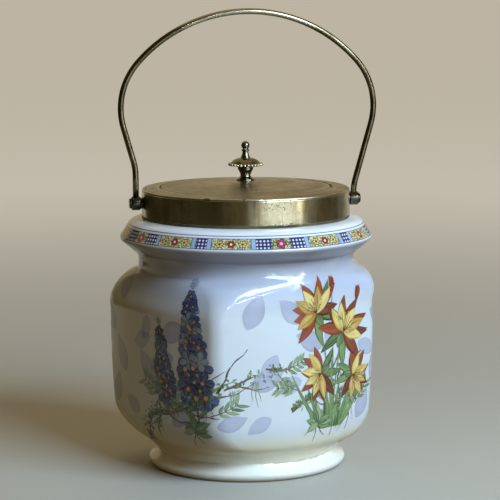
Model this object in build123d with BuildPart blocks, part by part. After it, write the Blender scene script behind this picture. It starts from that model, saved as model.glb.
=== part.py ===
from build123d import *

import os
from math import acos, cos, degrees, radians, sin, sqrt, tan

os.makedirs("parts", exist_ok=True)

# A biscuit jar: glazed earthenware with a cemented metal collar, a lift-off metal lid with a turned
# finial, and a bow handle that swings on two pivots.
# Millimetres, +Z up. The origin is on the table at the centre of the foot, with X along the pivots.

# ================================================================ driving dimensions: the jar
wall = 4.6  # earthenware wall of the belly
foot_rest_inner = 45.5  # the ring that the jar stands on
foot_rest_outer = 51.4
foot_radius = 54.5  # widest radius of the foot
foot_bulge_z = 4.0  # height of the foot's widest line
foot_waist_radius = 50.3  # between the foot and the belly
foot_top_radius = 49.2  # top of the foot, hidden in the belly
foot_top_z = 9.8
foot_recess_depth = 5.2  # hollow under the jar
foot_recess_draft = 1.5
floor_thickness = 7.0  # from the recess up to the inside of the floor
floor_radius = 44.5  # flat part of the floor inside

belly_reach = 73.4  # from the axis to the outside of a rounded corner, under the shoulder
belly_taper = 1.4  # the corners reach this much less at the foot end
belly_bow = 0.7  # extra reach at half height
belly_corner_radius = 10.5
belly_side_turn = 18.0  # each bowed side sweeps this many degrees either way of its middle
belly_turn = 25.0  # degrees that the sides are turned from the pivots' axis
belly_shift = 3.2  # the moulded belly stands this far off the axis, towards the left pivot
belly_low_z = 36.6  # where the turn under the belly begins
belly_low_radius = 22.5  # of that turn
belly_start_z = 11.6  # lowest full section under that turn
belly_start_radius = 51.6
belly_root_z = 8.6  # hidden root of the belly inside the foot
belly_root_radius = 48.8
belly_trace = 0.4  # the round sections keep this little of the corners
shoulder_radius = 18.0  # of the turn over the corners
shoulder_lean = 5.6  # the shoulder leans back over the axis by about this much

neck_radius = 59.3  # narrowest radius under the flange
neck_z = 115.0
neck_groove = 6.0  # radius of the hollow round the neck
flange_root_radius = 61.62  # where the flange's underside begins, at the end of that hollow
flange_root_rise = 4.56  # above the narrowest line of the neck
flange_radius = 69.4  # widest radius of the flange
flange_lip = 1.8  # radius of the flange's lower lip
flange_lip_rise = 12.0  # of that lip's middle above the narrowest line
flange_lip_start = -48.0  # degrees, where the lip leaves the underside
flange_lip_turn = 76.0
border_top_radius = 65.4  # upper edge of the flange's outer face
border_height = 6.6  # from the lip's middle up to that edge
crest_radius = 64.3  # top of the flange, just inside that edge
crest_rise = 1.6
upstand_thickness = 4.5  # earthenware inside the collar
throat_drop = 0.7  # the bore starts below the narrowest line, with a fine step to the belly's hollow
throat_step = 0.4
throat_radius = 57.0  # hollow behind the flange
throat_rise = 8.5
throat_top_rise = 16.5  # where the bore of the mouth begins
mouth_round = 1.0

# ================================================================ driving dimensions: collar and lid
collar_radius = 57.2
collar_sheet = 0.8
collar_rise = 3.9  # of the band's lower edge above the upper edge of the flange's face
collar_height = 14.7
collar_lip_width = 6.8  # flat ring on top, which carries the lid
collar_round = 0.7
cement_thickness = 2.5  # between the collar's bore and the earthenware
cement_gap = 0.05  # between the cement and what it bonds

lid_inset = 0.2  # the lid's edge stands this far inside the collar's
lid_sheet = 1.0
lid_round = 0.9  # rounded outer edge
lid_ring_rise = 0.7  # the outer ring climbs this much towards the step
lid_ring_width = 9.7  # flat ring outside the step
lid_step_width = 0.9
lid_step_depth = 0.5
lid_dome_rise = 3.5
lid_seat_gap = 0.05
skirt_clearance = 0.7  # between the lid's skirt and the mouth
skirt_sheet = 0.8
skirt_depth = 8.5

# ================================================================ driving dimensions: finial
finial_foot_radius = 4.85
finial_foot_height = 0.8
finial_foot_round = 0.35
pedestal_height = 7.2
pedestal_flare_radius = 4.2
pedestal_waist_radius = 3.1
pedestal_waist_height = 3.2
pedestal_bulge_radius = 4.35
pedestal_bulge_height = 6.0
pedestal_top_radius = 4.0
dish_radius = 8.9
dish_rim_height = 1.3
dish_dome_radius = 8.2
dish_dome_rise = 2.9
bead_count = 28
bead_radius = 0.75
bead_height = 0.65  # of a bead's middle above the dish's underside
knob_height = 9.2
knob_base_radius = 2.6
knob_base_height = 0.4
knob_neck_radius = 1.7
knob_neck_height = 3.3
knob_ring_radius = 2.2
knob_ring_height = 4.25
knob_ring_width = 1.0
knob_throat_radius = 1.5
knob_ball_radius = 2.3
knob_bore = 3.2  # depth of the screw hole
stud_radius = 1.2
thread_gap = 0.05  # all round a screw in its hole
finial_washer_radius = 5.0
finial_washer_thickness = 0.8
finial_washer_gap = 0.06  # the flat washer meets the domed lid at its rim only
finial_nut_across = 6.0
finial_nut_thickness = 2.4
stud_tail = 0.6  # screw showing below the nut

# ================================================================ driving dimensions: handle
pivot_rise = 8.5  # of the pivots above the band's lower edge
pin_radius = 1.5
pivot_play = 0.06  # all round a pivot pin in its knuckle
side_play = 0.15  # beside a knuckle, at the boss and at the pin's head
boss_radius = 3.0
boss_length = 1.0
knuckle_radius = 3.75
knuckle_length = 4.9
knuckle_round = 0.7
pin_head_radius = 2.8
pin_head_height = 1.1
pin_head_round = 0.8
pivot_nut_radius = 2.7
pivot_nut_thickness = 1.5
pivot_nut_depth = 0.2  # of the nut behind the collar's bore
pocket_clearance = 0.15  # round a pivot nut in the cement
rod_radius = 1.65
rod_fit = 0.03  # all round the rod in its knuckle
rod_web = 0.6  # knuckle left between the rod's end and the pin
bow_straight = 1.0  # of rod showing above the right knuckle's bore before the first bend
bow_foot_bend = 28.0  # radius of the bend above a knuckle
bow_leg_angle = 15.8  # degrees that a leg leans outwards
bow_spread = 9.4  # the shoulders reach this far beyond the legs' feet
bow_shift = 1.7  # the bow's upper part is bent this far to the right
bow_shoulder_radius = 37.5
bow_crown_turn = 48.4  # degrees from the crown to each shoulder

# ================================================================ derived places
flange_root_z = neck_z + flange_root_rise
flange_lip_z = neck_z + flange_lip_rise
border_top_z = flange_lip_z + border_height
crest_z = border_top_z + crest_rise
throat_low_z = neck_z - throat_drop
throat_z = neck_z + throat_rise
throat_top_z = neck_z + throat_top_rise
collar_low_z = border_top_z + collar_rise
collar_top_z = collar_low_z + collar_height
pivot_z = collar_low_z + pivot_rise

collar_bore = collar_radius - collar_sheet
lip_under_z = collar_top_z - collar_sheet
seat_z = collar_low_z - cement_gap
seat_radius = collar_radius + 0.4
upstand_radius = collar_bore - cement_thickness
mouth_radius = upstand_radius - upstand_thickness
upstand_top_z = lip_under_z - cement_gap
floor_z = foot_recess_depth + floor_thickness
groove_centre = neck_radius + neck_groove
lip_centre = flange_radius - flange_lip
low_reach = belly_reach - belly_taper
low_centre = low_reach - belly_low_radius
shoulder_centre = belly_reach - shoulder_radius
shoulder_meet = degrees(acos((groove_centre - shoulder_centre) / (neck_groove + shoulder_radius)))
shoulder_z = neck_z - (neck_groove + shoulder_radius) * sin(radians(shoulder_meet))
middle_z = (belly_low_z + shoulder_z) / 2
side_half = (shoulder_z - belly_low_z) / 2

lid_under_z = collar_top_z + lid_seat_gap
lid_edge_z = lid_under_z + lid_sheet
lid_ring_z = lid_edge_z + lid_ring_rise
lid_groove_z = lid_ring_z - lid_step_depth
lid_radius = collar_radius - lid_inset
lid_step_radius = lid_radius - lid_ring_width
lid_dome_radius = lid_step_radius - lid_step_width
lid_crown_z = lid_ring_z + lid_dome_rise
skirt_radius = mouth_radius - skirt_clearance
skirt_bore = skirt_radius - skirt_sheet

pedestal_low_z = lid_crown_z + finial_foot_height
dish_low_z = pedestal_low_z + pedestal_height
dish_rim_z = dish_low_z + dish_rim_height
knob_low_z = dish_rim_z + dish_dome_rise
knob_ring_z = knob_low_z + knob_ring_height
knob_ball_z = knob_low_z + knob_height - knob_ball_radius
knob_throat_z = knob_ball_z - sqrt(knob_ball_radius**2 - knob_throat_radius**2)
screw_hole_radius = stud_radius + thread_gap
finial_washer_z = lid_crown_z - lid_sheet - finial_washer_gap - finial_washer_thickness
finial_nut_z = finial_washer_z - finial_nut_thickness
stud_low_z = finial_nut_z - stud_tail
stud_top_z = knob_low_z + knob_bore - thread_gap

pivot_nut_start = collar_bore - pivot_nut_depth - pivot_nut_thickness
boss_face = collar_radius + boss_length
knuckle_start = boss_face + side_play
leg_x = knuckle_start + knuckle_length / 2
head_start = knuckle_start + knuckle_length + side_play
rod_end_z = pivot_z + pin_radius + pivot_play + rod_web
bow_bends = bow_foot_bend + bow_shoulder_radius
bow_shoulder_x = leg_x + bow_spread - bow_shoulder_radius
bow_leg_out = bow_spread + bow_shift - bow_bends * (1 - cos(radians(bow_leg_angle)))
bow_leg_rise = bow_leg_out / tan(radians(bow_leg_angle)) + bow_bends * sin(radians(bow_leg_angle))
bow_shoulder_z = rod_end_z + bow_straight + bow_leg_rise
bow_shoulder_turn = 90 - bow_crown_turn + bow_leg_angle
bow_crown_radius = bow_shoulder_radius + bow_shoulder_x / sin(radians(bow_crown_turn))
bow_crown_z = bow_shoulder_z - bow_shoulder_x / tan(radians(bow_crown_turn))


# ================================================================ sections of the belly
def belly_outline(reach, corner_radius):
    """Draws four bowed sides joined by four corner arcs."""
    corner_centre = reach - corner_radius
    corner_turn = 45 - belly_side_turn
    touch_x = corner_centre * cos(radians(45)) + corner_radius * cos(radians(belly_side_turn))
    touch_y = corner_centre * sin(radians(45)) + corner_radius * sin(radians(belly_side_turn))
    side_radius = touch_y / sin(radians(belly_side_turn))
    side_centre = touch_x - side_radius * cos(radians(belly_side_turn))
    for angle in range(0, 360, 90):
        side = Vector(side_centre, 0).rotate(Axis.Z, angle)
        corner = Vector(corner_centre, 0).rotate(Axis.Z, angle + 45)
        CenterArc(side, side_radius, angle - belly_side_turn, 2 * belly_side_turn)
        CenterArc(corner, corner_radius, angle + 45 - corner_turn, 2 * corner_turn)


def belly_section(z, reach, round_radius, shift=0.0, slope=0.0, inset=0.0):
    """The belly's plan at height z: round at round_radius, square with soft corners at belly_reach.

    The plan stands shift off the axis, away from the left pivot. The surface there faces slope
    degrees above level, and inset moves the plan that far inwards.
    """
    squareness = (reach - round_radius) / (belly_reach - round_radius)
    roundest = round_radius - belly_trace
    corner_radius = roundest + (belly_corner_radius - roundest) * squareness
    step = inset * cos(radians(slope))
    plane = Plane((shift, 0, z - inset * sin(radians(slope))))
    with BuildSketch(plane.rotated((0, 0, belly_turn))) as section:
        with BuildLine():
            belly_outline(reach - step, corner_radius - step)
        make_face()
    return section.sketch


def shoulder_shift(angle):
    """How far the plan stands off the axis where the shoulder faces angle degrees above level."""
    return shoulder_lean * sin(radians(angle)) - belly_shift


def belly_sections(inset=0.0):
    """Plans from the turn under the belly up to the neck, each moved inset inwards."""
    sections = []
    for angle in (66, 52, 38, 24, 11, 0):
        reach = low_centre + belly_low_radius * cos(radians(angle))
        z = belly_low_z - belly_low_radius * sin(radians(angle))
        shift = -belly_shift * ((reach - foot_waist_radius) / (low_reach - foot_waist_radius)) ** 2
        sections.append(belly_section(z, reach, foot_waist_radius, shift, -angle, inset))
    for share in (-0.7, -0.35, 0, 0.35, 0.7):
        reach = belly_reach - belly_taper * (1 - share) / 2 + belly_bow * (1 - share**2)
        z = middle_z + share * side_half
        sections.append(belly_section(z, reach, foot_waist_radius, -belly_shift, 0, inset))
    for share in (0, 0.21, 0.43, 0.64, 0.84):
        angle = share * shoulder_meet
        reach = shoulder_centre + shoulder_radius * cos(radians(angle))
        z = shoulder_z + shoulder_radius * sin(radians(angle))
        sections.append(belly_section(z, reach, neck_radius, shoulder_shift(angle), angle, inset))
    for share in (0.8, 0.54, 0.27, 0):
        angle = share * shoulder_meet
        reach = groove_centre - neck_groove * cos(radians(angle))
        z = neck_z - neck_groove * sin(radians(angle))
        shift = shoulder_shift(shoulder_meet) * (sin(radians(angle)) / sin(radians(shoulder_meet))) ** 2
        sections.append(belly_section(z, reach, neck_radius, shift, angle, inset))
    return sections


def groove_section(angle):
    """A round plan of the hollow round the neck, angle degrees above its narrowest line."""
    radius = groove_centre - neck_groove * cos(radians(angle))
    return belly_section(neck_z + neck_groove * sin(radians(angle)), radius, radius)


def pivot_plane(toward, distance):
    """The plane across the pivots' axis, distance out from the jar's axis and facing outwards."""
    return Plane((toward * distance, 0, pivot_z), z_dir=(toward, 0, 0))


# ================================================================ the earthenware jar
with BuildPart() as belly:
    root = belly_section(belly_root_z, belly_root_radius, belly_root_radius)
    start = belly_section(belly_start_z, belly_start_radius, belly_start_radius)
    loft([root, start] + belly_sections() + [groove_section(angle) for angle in (14, 28, 41, 54)])

with BuildPart() as belly_hollow:
    floor = belly_section(floor_z, floor_radius, floor_radius)
    top = belly_section(neck_z + throat_step, neck_radius - wall, neck_radius - wall)
    loft([floor] + belly_sections(wall) + [top])

with BuildPart() as jar_body:
    add(belly)
    with BuildSketch(Plane.XZ):
        with BuildLine():
            foot_side = Spline(
                (foot_rest_outer, 0),
                (foot_radius, foot_bulge_z),
                (foot_top_radius, foot_top_z),
                tangents=[(1, 0.25), (-0.3, 1)],
            )
            Polyline(
                foot_side @ 1,
                (0, foot_top_z),
                (0, foot_recess_depth),
                (foot_rest_inner - foot_recess_draft, foot_recess_depth),
                (foot_rest_inner, 0),
                foot_side @ 0,
            )
        make_face()
    revolve(axis=Axis.Z)
    with BuildSketch(Plane.XZ):
        with BuildLine():
            lip = CenterArc((lip_centre, flange_lip_z), flange_lip, flange_lip_start, flange_lip_turn)
            Line((flange_root_radius, flange_root_z), lip @ 0)
            border = Line(lip @ 1, (border_top_radius, border_top_z))
            Spline(
                border @ 1,
                (crest_radius, crest_z),
                (seat_radius, seat_z),
                tangents=[border % 1, (-1, 0.12)],
            )
            Polyline(
                (seat_radius, seat_z),
                (upstand_radius, seat_z),
                (upstand_radius, upstand_top_z),
                (0, upstand_top_z),
                (0, flange_root_z),
                (flange_root_radius, flange_root_z),
            )
        make_face()
    revolve(axis=Axis.Z)
    add(belly_hollow, mode=Mode.SUBTRACT)
    with BuildSketch(Plane.XZ):
        with BuildLine():
            throat = Spline(
                (neck_radius - wall + throat_step, throat_low_z),
                (throat_radius, throat_z),
                (mouth_radius, throat_top_z),
                tangents=[(0, 1), (0, 1)],
            )
            Polyline(
                throat @ 1,
                (mouth_radius, collar_top_z),
                (0, collar_top_z),
                (0, throat_low_z),
                throat @ 0,
            )
        make_face()
    revolve(axis=Axis.Z, mode=Mode.SUBTRACT)
    fillet(jar_body.edges().group_by(Axis.Z)[-1], mouth_round)
jar_body.part.label = "jar_body"
export_step(jar_body.part, "parts/jar_body.step")

# ================================================================ cement and collar on the mouth
with BuildPart() as rim_cement:
    with BuildSketch(Plane.XY.offset(seat_z + cement_gap)):
        Circle(collar_bore - cement_gap)
        Circle(upstand_radius + cement_gap, mode=Mode.SUBTRACT)
    extrude(amount=lip_under_z - seat_z - 2 * cement_gap)
    with BuildSketch(pivot_plane(1, 0)):
        Circle(pivot_nut_radius + pocket_clearance)
    extrude(amount=collar_radius, both=True, mode=Mode.SUBTRACT)
rim_cement.part.label = "rim_cement"
export_step(rim_cement.part, "parts/rim_cement.step")

with BuildPart() as collar_band:
    with BuildSketch(Plane.XY.offset(collar_low_z)):
        Circle(collar_radius)
    extrude(amount=collar_top_z - collar_low_z)
    fillet(collar_band.edges().group_by(Axis.Z)[-1], collar_round)
    with BuildSketch(Plane.XY.offset(collar_low_z)):
        Circle(collar_bore)
    extrude(amount=lip_under_z - collar_low_z, mode=Mode.SUBTRACT)
    with BuildSketch(Plane.XY.offset(lip_under_z)):
        Circle(collar_radius - collar_lip_width)
    extrude(amount=collar_sheet, mode=Mode.SUBTRACT)
    with BuildSketch(pivot_plane(1, 0)):
        Circle(pin_radius + thread_gap)
    extrude(amount=collar_radius, both=True, mode=Mode.SUBTRACT)
collar_band.part.label = "collar_band"
export_step(collar_band.part, "parts/collar_band.step")

# ================================================================ the two pivots and their knuckles
for side, toward in (("left", -1), ("right", 1)):
    with BuildPart() as pivot_boss:
        with BuildSketch(pivot_plane(toward, collar_bore)):
            Circle(boss_radius)
            Circle(pin_radius + thread_gap, mode=Mode.SUBTRACT)
        extrude(amount=boss_face - collar_bore)
        with BuildSketch(Plane.XY.offset(collar_low_z)):
            Circle(collar_radius + cement_gap)
        extrude(amount=collar_top_z - collar_low_z, mode=Mode.SUBTRACT)
    pivot_boss.part.label = f"pivot_boss_{side}"
    export_step(pivot_boss.part, f"parts/pivot_boss_{side}.step")

    with BuildPart() as pivot_nut:
        with BuildSketch(pivot_plane(toward, pivot_nut_start)):
            RegularPolygon(pivot_nut_radius, 6)
            Circle(pin_radius + thread_gap, mode=Mode.SUBTRACT)
        extrude(amount=pivot_nut_thickness)
    pivot_nut.part.label = f"pivot_nut_{side}"
    export_step(pivot_nut.part, f"parts/pivot_nut_{side}.step")

    with BuildPart() as pivot_pin:
        with BuildSketch(pivot_plane(toward, pivot_nut_start)):
            Circle(pin_radius)
        extrude(amount=head_start - pivot_nut_start)
        with BuildSketch(pivot_plane(toward, head_start)):
            Circle(pin_head_radius)
        extrude(amount=pin_head_height)
        fillet(pivot_pin.edges().group_by(Axis((0, 0, 0), (toward, 0, 0)))[-1], pin_head_round)
    pivot_pin.part.label = f"pivot_pin_{side}"
    export_step(pivot_pin.part, f"parts/pivot_pin_{side}.step")

    with BuildPart() as handle_knuckle:
        with BuildSketch(pivot_plane(toward, knuckle_start)):
            Circle(knuckle_radius)
        extrude(amount=knuckle_length)
        fillet(handle_knuckle.edges().filter_by(GeomType.CIRCLE), knuckle_round)
        with BuildSketch(pivot_plane(toward, knuckle_start)):
            Circle(pin_radius + pivot_play)
        extrude(amount=knuckle_length, mode=Mode.SUBTRACT)
        with BuildSketch(Plane((toward * leg_x, 0, rod_end_z))):
            Circle(rod_radius + rod_fit)
        extrude(amount=knuckle_radius, mode=Mode.SUBTRACT)
    handle_knuckle.part.label = f"handle_knuckle_{side}"
    export_step(handle_knuckle.part, f"parts/handle_knuckle_{side}.step")

# ================================================================ the bow of the handle
with BuildPart() as handle_bow:
    with BuildLine(Plane.XZ) as bow_path:
        CenterArc((bow_shift, bow_crown_z), bow_crown_radius, 90 - bow_crown_turn, 2 * bow_crown_turn)
        for toward in (1, -1):
            bend_turn = -toward * bow_leg_angle
            shoulder_start = -bow_leg_angle if toward > 0 else 90 + bow_crown_turn
            centre = (bow_shift + toward * bow_shoulder_x, bow_shoulder_z)
            shoulder = CenterArc(centre, bow_shoulder_radius, shoulder_start, bow_shoulder_turn)
            shortfall = 0 if toward > 0 else 2 * bow_shift / tan(radians(bow_leg_angle))
            bend_centre = (toward * (leg_x + bow_foot_bend), bow_shoulder_z - bow_leg_rise + shortfall)
            bend = CenterArc(bend_centre, bow_foot_bend, 180 if toward > 0 else 0, bend_turn)
            Line(bend @ 1, shoulder @ (0 if toward > 0 else 1))
            Line((toward * leg_x, rod_end_z), bend @ 0)
    path = bow_path.wire()
    with BuildSketch(Plane(path @ 0, z_dir=path % 0)):
        Circle(rod_radius)
    sweep(path=path)
handle_bow.part.label = "handle_bow"
export_step(handle_bow.part, "parts/handle_bow.step")

# ================================================================ the lid
with BuildPart() as lid_plate:
    with BuildSketch(Plane.XZ):
        with BuildLine():
            dome = TangentArc((0, lid_crown_z), (lid_dome_radius, lid_ring_z), tangent=(1, 0))
            ring = Polyline(
                dome @ 1,
                (lid_dome_radius, lid_groove_z),
                (lid_step_radius, lid_groove_z),
                (lid_step_radius, lid_ring_z),
                (lid_radius - lid_round, lid_edge_z),
            )
            edge = TangentArc(ring @ 1, (lid_radius, lid_edge_z - lid_round), tangent=(1, 0))
            under = Polyline(
                edge @ 1,
                (lid_radius, lid_under_z),
                (skirt_bore, lid_under_z),
                (lid_dome_radius - lid_sheet, lid_ring_z - lid_sheet),
            )
            inner_dome = TangentArc((0, lid_crown_z - lid_sheet), under @ 1, tangent=(1, 0))
            Line(inner_dome @ 0, dome @ 0)
        make_face()
    revolve(axis=Axis.Z)
    with BuildSketch(Plane.XY.offset(lid_under_z)):
        Circle(screw_hole_radius)
    extrude(amount=lid_crown_z - lid_under_z, mode=Mode.SUBTRACT)
lid_plate.part.label = "lid_plate"
export_step(lid_plate.part, "parts/lid_plate.step")

with BuildPart() as lid_skirt:
    with BuildSketch(Plane.XY.offset(lid_under_z)):
        Circle(skirt_radius)
        Circle(skirt_bore, mode=Mode.SUBTRACT)
    extrude(amount=-skirt_depth)
lid_skirt.part.label = "lid_skirt"
export_step(lid_skirt.part, "parts/lid_skirt.step")

# ================================================================ the finial and its fixing
with BuildPart() as finial_foot:
    with BuildSketch(Plane.XY.offset(lid_crown_z)):
        Circle(finial_foot_radius)
    extrude(amount=finial_foot_height)
    fillet(finial_foot.edges().group_by(Axis.Z)[-1], finial_foot_round)
    with BuildSketch(Plane.XY.offset(lid_crown_z)):
        Circle(screw_hole_radius)
    extrude(amount=finial_foot_height, mode=Mode.SUBTRACT)
finial_foot.part.label = "finial_foot"
export_step(finial_foot.part, "parts/finial_foot.step")

with BuildPart() as finial_pedestal:
    with BuildSketch(Plane.XZ):
        with BuildLine():
            baluster = Spline(
                (pedestal_flare_radius, pedestal_low_z),
                (pedestal_waist_radius, pedestal_low_z + pedestal_waist_height),
                (pedestal_bulge_radius, pedestal_low_z + pedestal_bulge_height),
                (pedestal_top_radius, dish_low_z),
            )
            Polyline(
                baluster @ 1,
                (screw_hole_radius, dish_low_z),
                (screw_hole_radius, pedestal_low_z),
                baluster @ 0,
            )
        make_face()
    revolve(axis=Axis.Z)
finial_pedestal.part.label = "finial_pedestal"
export_step(finial_pedestal.part, "parts/finial_pedestal.step")

with BuildPart() as finial_dish:
    with BuildSketch(Plane.XZ):
        with BuildLine():
            cap = TangentArc(
                (knob_base_radius, knob_low_z),
                (dish_dome_radius, dish_rim_z),
                tangent=(1, 0),
            )
            Polyline(
                cap @ 1,
                (dish_radius, dish_rim_z),
                (dish_radius, dish_low_z),
                (screw_hole_radius, dish_low_z),
                (screw_hole_radius, knob_low_z),
                cap @ 0,
            )
        make_face()
    revolve(axis=Axis.Z)
    with Locations((0, 0, dish_low_z + bead_height)):
        with PolarLocations(dish_radius, bead_count):
            Sphere(bead_radius)
finial_dish.part.label = "finial_dish"
export_step(finial_dish.part, "parts/finial_dish.step")

with BuildPart() as finial_knob:
    with BuildSketch(Plane.XZ):
        with BuildLine():
            bell = Spline(
                (knob_base_radius, knob_low_z + knob_base_height),
                (knob_neck_radius, knob_low_z + knob_neck_height),
                tangents=[(-0.5, 1), (0, 1)],
            )
            Line(bell @ 1, (knob_neck_radius, knob_ring_z - knob_ring_width / 2))
            bead = ThreePointArc(
                (knob_neck_radius, knob_ring_z - knob_ring_width / 2),
                (knob_ring_radius, knob_ring_z),
                (knob_throat_radius, knob_ring_z + knob_ring_width / 2),
            )
            Line(bead @ 1, (knob_throat_radius, knob_throat_z))
            ball = ThreePointArc(
                (knob_throat_radius, knob_throat_z),
                (knob_ball_radius, knob_ball_z),
                (0, knob_ball_z + knob_ball_radius),
            )
            Polyline(ball @ 1, (0, knob_low_z), (knob_base_radius, knob_low_z), bell @ 0)
        make_face()
    revolve(axis=Axis.Z)
    with BuildSketch(Plane.XY.offset(knob_low_z)):
        Circle(screw_hole_radius)
    extrude(amount=knob_bore, mode=Mode.SUBTRACT)
finial_knob.part.label = "finial_knob"
export_step(finial_knob.part, "parts/finial_knob.step")

with BuildPart() as finial_stud:
    with BuildSketch(Plane.XY.offset(stud_low_z)):
        Circle(stud_radius)
    extrude(amount=stud_top_z - stud_low_z)
finial_stud.part.label = "finial_stud"
export_step(finial_stud.part, "parts/finial_stud.step")

with BuildPart() as finial_washer:
    with BuildSketch(Plane.XY.offset(finial_washer_z)):
        Circle(finial_washer_radius)
        Circle(screw_hole_radius, mode=Mode.SUBTRACT)
    extrude(amount=finial_washer_thickness)
finial_washer.part.label = "finial_washer"
export_step(finial_washer.part, "parts/finial_washer.step")

with BuildPart() as finial_nut:
    with BuildSketch(Plane.XY.offset(finial_nut_z)):
        RegularPolygon(finial_nut_across / 2, 6, major_radius=False)
        Circle(screw_hole_radius, mode=Mode.SUBTRACT)
    extrude(amount=finial_nut_thickness)
finial_nut.part.label = "finial_nut"
export_step(finial_nut.part, "parts/finial_nut.step")
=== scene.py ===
"""Dresses the biscuit jar: worn plated metal, a glossy glaze, and a printed garden under it.

Every length is in metres in the frame's own axes: Z up, X along the pivots of the handle. A length
whose name ends in _mm is in millimetres, because patterns are easier to read at that scale.
"""

import logging
import math
import random
from dataclasses import dataclass, field
from enum import Enum
from typing import Any, Callable, Iterable, Optional, Sequence, Union

import bpy
from mathutils import Matrix, Vector
from mathutils.bvhtree import BVHTree


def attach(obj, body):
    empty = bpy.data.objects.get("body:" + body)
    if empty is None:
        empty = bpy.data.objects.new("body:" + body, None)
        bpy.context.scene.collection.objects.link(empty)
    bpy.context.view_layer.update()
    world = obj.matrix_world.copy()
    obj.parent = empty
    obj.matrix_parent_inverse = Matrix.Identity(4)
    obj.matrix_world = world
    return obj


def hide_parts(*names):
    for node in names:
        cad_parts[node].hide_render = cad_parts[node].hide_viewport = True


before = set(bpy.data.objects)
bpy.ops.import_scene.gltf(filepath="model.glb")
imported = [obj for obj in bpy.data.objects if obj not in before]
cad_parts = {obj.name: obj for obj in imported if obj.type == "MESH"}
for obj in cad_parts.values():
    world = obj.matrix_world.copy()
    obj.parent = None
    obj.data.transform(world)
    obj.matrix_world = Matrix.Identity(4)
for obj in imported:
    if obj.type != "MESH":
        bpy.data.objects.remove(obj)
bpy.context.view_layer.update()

log = logging.getLogger("biscuit_jar")

MM = 0.001
GLAZE_IOR = 1.52
SOFT_EDGE = (0.6, 1.1)
BROAD_STROKE_MM = 5.0
STROKE_MAP = "stroke"
TONE = "tone"

Colour = tuple[float, float, float]
Line = tuple[float, float]
Spot = tuple[float, float, float, float]


# ================================================================ shader expressions
class Wire:
    """A socket of a material's node tree that takes part in Python expressions on values."""

    def __init__(self, graph: "Graph", socket: bpy.types.NodeSocket) -> None:
        """Keeps the socket and the graph that new Math nodes go to."""
        self.graph = graph
        self.socket = socket

    def math(self, operation: str, *others: Any, clamp: bool = False) -> "Wire":
        """Adds a Math node.

        Args:
            operation: the Math node's operation.
            *others: the further operands, wires or numbers.
            clamp: whether the result stays between 0 and 1.

        Returns:
            The node's result.
        """
        settings = {"operation": operation, "use_clamp": clamp}
        return self.graph.wire("ShaderNodeMath", settings, self, *others)

    def __add__(self, other: Any) -> "Wire":
        """Returns self + other."""
        return self.math("ADD", other)

    __radd__ = __add__

    def __sub__(self, other: Any) -> "Wire":
        """Returns self - other."""
        return self.math("SUBTRACT", other)

    def __rsub__(self, other: Any) -> "Wire":
        """Returns other - self."""
        return self.graph.wire("ShaderNodeMath", {"operation": "SUBTRACT"}, other, self)

    def __mul__(self, other: Any) -> "Wire":
        """Returns self * other."""
        return self.math("MULTIPLY", other)

    __rmul__ = __mul__

    def __truediv__(self, other: Any) -> "Wire":
        """Returns self / other."""
        return self.math("DIVIDE", other)

    def __rtruediv__(self, other: Any) -> "Wire":
        """Returns other / self."""
        return self.graph.wire("ShaderNodeMath", {"operation": "DIVIDE"}, other, self)

    def __abs__(self) -> "Wire":
        """Returns the value without its sign."""
        return self.math("ABSOLUTE")

    def __gt__(self, other: Any) -> "Wire":
        """Returns 1 where self is greater than other, and 0 elsewhere."""
        return self.math("GREATER_THAN", other)

    def __lt__(self, other: Any) -> "Wire":
        """Returns 1 where self is less than other, and 0 elsewhere."""
        return self.math("LESS_THAN", other)

    def between(self, low: Any, high: Any) -> "Wire":
        """Returns 1 where low < self < high, and 0 elsewhere."""
        return (self > low) * (self < high)

    def repeat(self, period: float) -> "Wire":
        """Returns the value wrapped into 0 to period."""
        return self.math("WRAP", period, 0.0)

    def ramp(self, low: float, high: float) -> "Wire":
        """Returns a smooth step from 0 at low to 1 at high."""
        settings = {"interpolation_type": "SMOOTHSTEP"}
        return self.graph.wire("ShaderNodeMapRange", settings, self, low, high, 0.0, 1.0)

    def span(self, low: float, high: float) -> "Wire":
        """Returns the value, from 0 to 1, moved to low to high."""
        return self * (high - low) + low


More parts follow.
